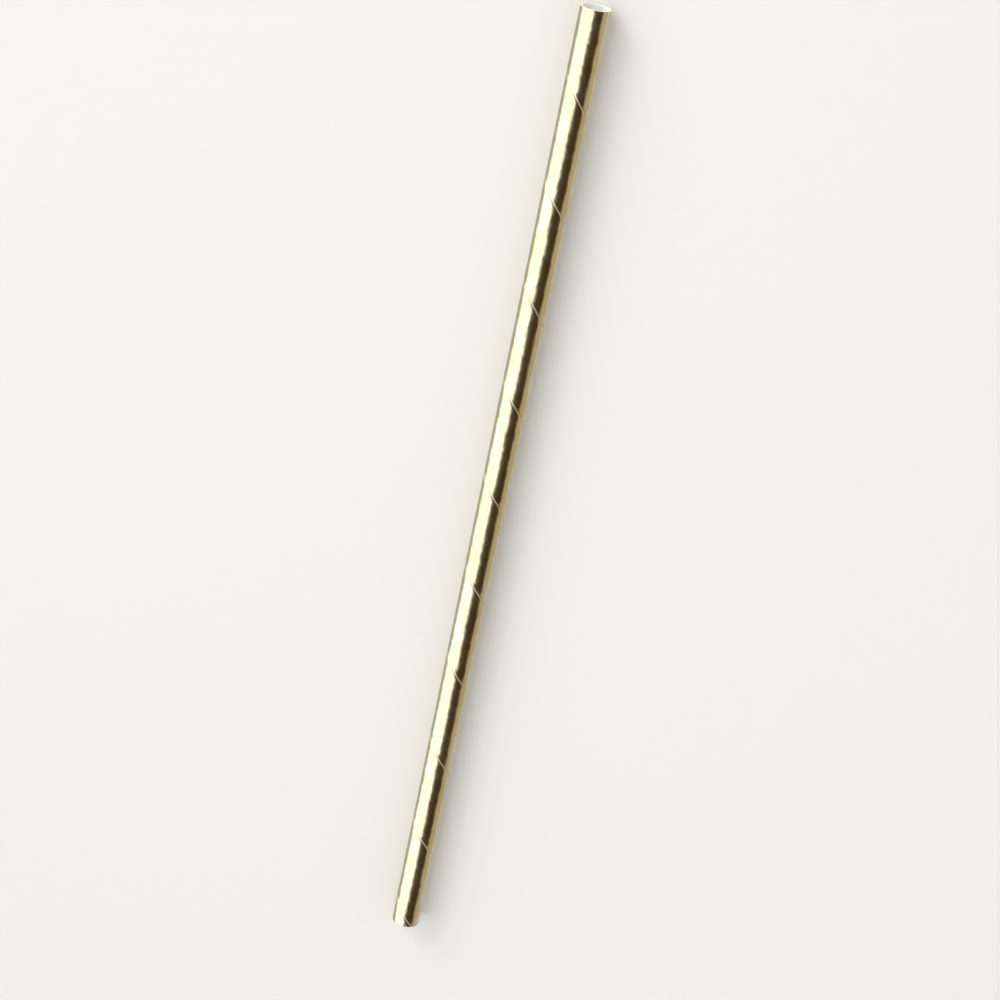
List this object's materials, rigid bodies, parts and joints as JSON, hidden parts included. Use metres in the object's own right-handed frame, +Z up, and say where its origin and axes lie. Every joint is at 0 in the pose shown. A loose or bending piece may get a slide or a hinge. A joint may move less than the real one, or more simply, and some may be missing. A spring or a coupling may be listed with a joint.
{
  "type": "spiral-wrapped paper drinking straw",
  "caption": "Straight drinking straw wound from glued paper strips, with a pale gold foil face, slanting butt seams and square-cut ends.",
  "frame": {"origin": "on the surface that the straw lies on, under the middle of its length", "axes": "+X along the bore towards the drinking end, +Z up from the surface"},
  "size_m": [0.21, 0.006, 0.0061],
  "materials": {
    "gold_foil": "metallic foil",
    "white_paper": "matt"
  },
  "bodies": {
    "root": {"foil_ply": "gold_foil", "middle_ply": "white_paper", "inner_ply": "white_paper"}
  },
  "joints": []
}
